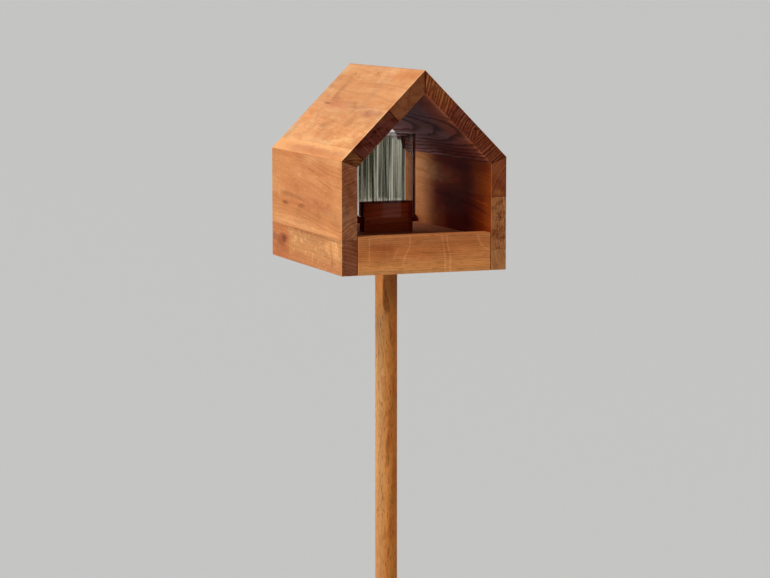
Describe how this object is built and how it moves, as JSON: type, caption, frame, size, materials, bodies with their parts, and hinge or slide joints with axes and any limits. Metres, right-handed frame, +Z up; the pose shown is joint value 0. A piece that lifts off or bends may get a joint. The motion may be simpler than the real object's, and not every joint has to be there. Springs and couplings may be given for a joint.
{
  "type": "bird feeder on a pole",
  "caption": "Oiled oak bird feeder: a pitched-roof house open in front and behind, with a clear seed tube on a dowelled block inside, on a tall round pole.",
  "frame": {"origin": "middle of the pole's flat foot, at ground level", "axes": "+X to the right seen from the front, +Y from the front to the back, +Z up the pole"},
  "size_m": [0.29, 0.36, 1.5326],
  "materials": {
    "oiled_oak": "oiled, satin",
    "tray_oak": "oiled, satin",
    "floor_oak": "oiled, satin",
    "pole_oak": "oiled, satin",
    "dark_oak": "dark oiled, satin",
    "clear_acrylic": "clear, polished"
  },
  "bodies": {
    "root": {"left_wall_foot_board": "oiled_oak", "left_wall_top_board": "oiled_oak", "right_wall_foot_board": "oiled_oak", "right_wall_middle_board": "oiled_oak", "right_wall_top_board": "oiled_oak", "left_roof_ridge_board": "oiled_oak", "left_roof_middle_board": "oiled_oak", "left_roof_eave_board": "oiled_oak", "right_roof_ridge_board": "oiled_oak", "right_roof_middle_board": "oiled_oak", "right_roof_eave_board": "oiled_oak", "floor_board_1": "floor_oak", "floor_board_2": "floor_oak", "floor_board_3": "floor_oak", "front_board": "tray_oak", "back_board": "tray_oak", "silo_tube": "clear_acrylic", "silo_block": "dark_oak", "silo_dowel": "dark_oak", "pole": "pole_oak", "pole_socket": "floor_oak"}
  },
  "joints": []
}
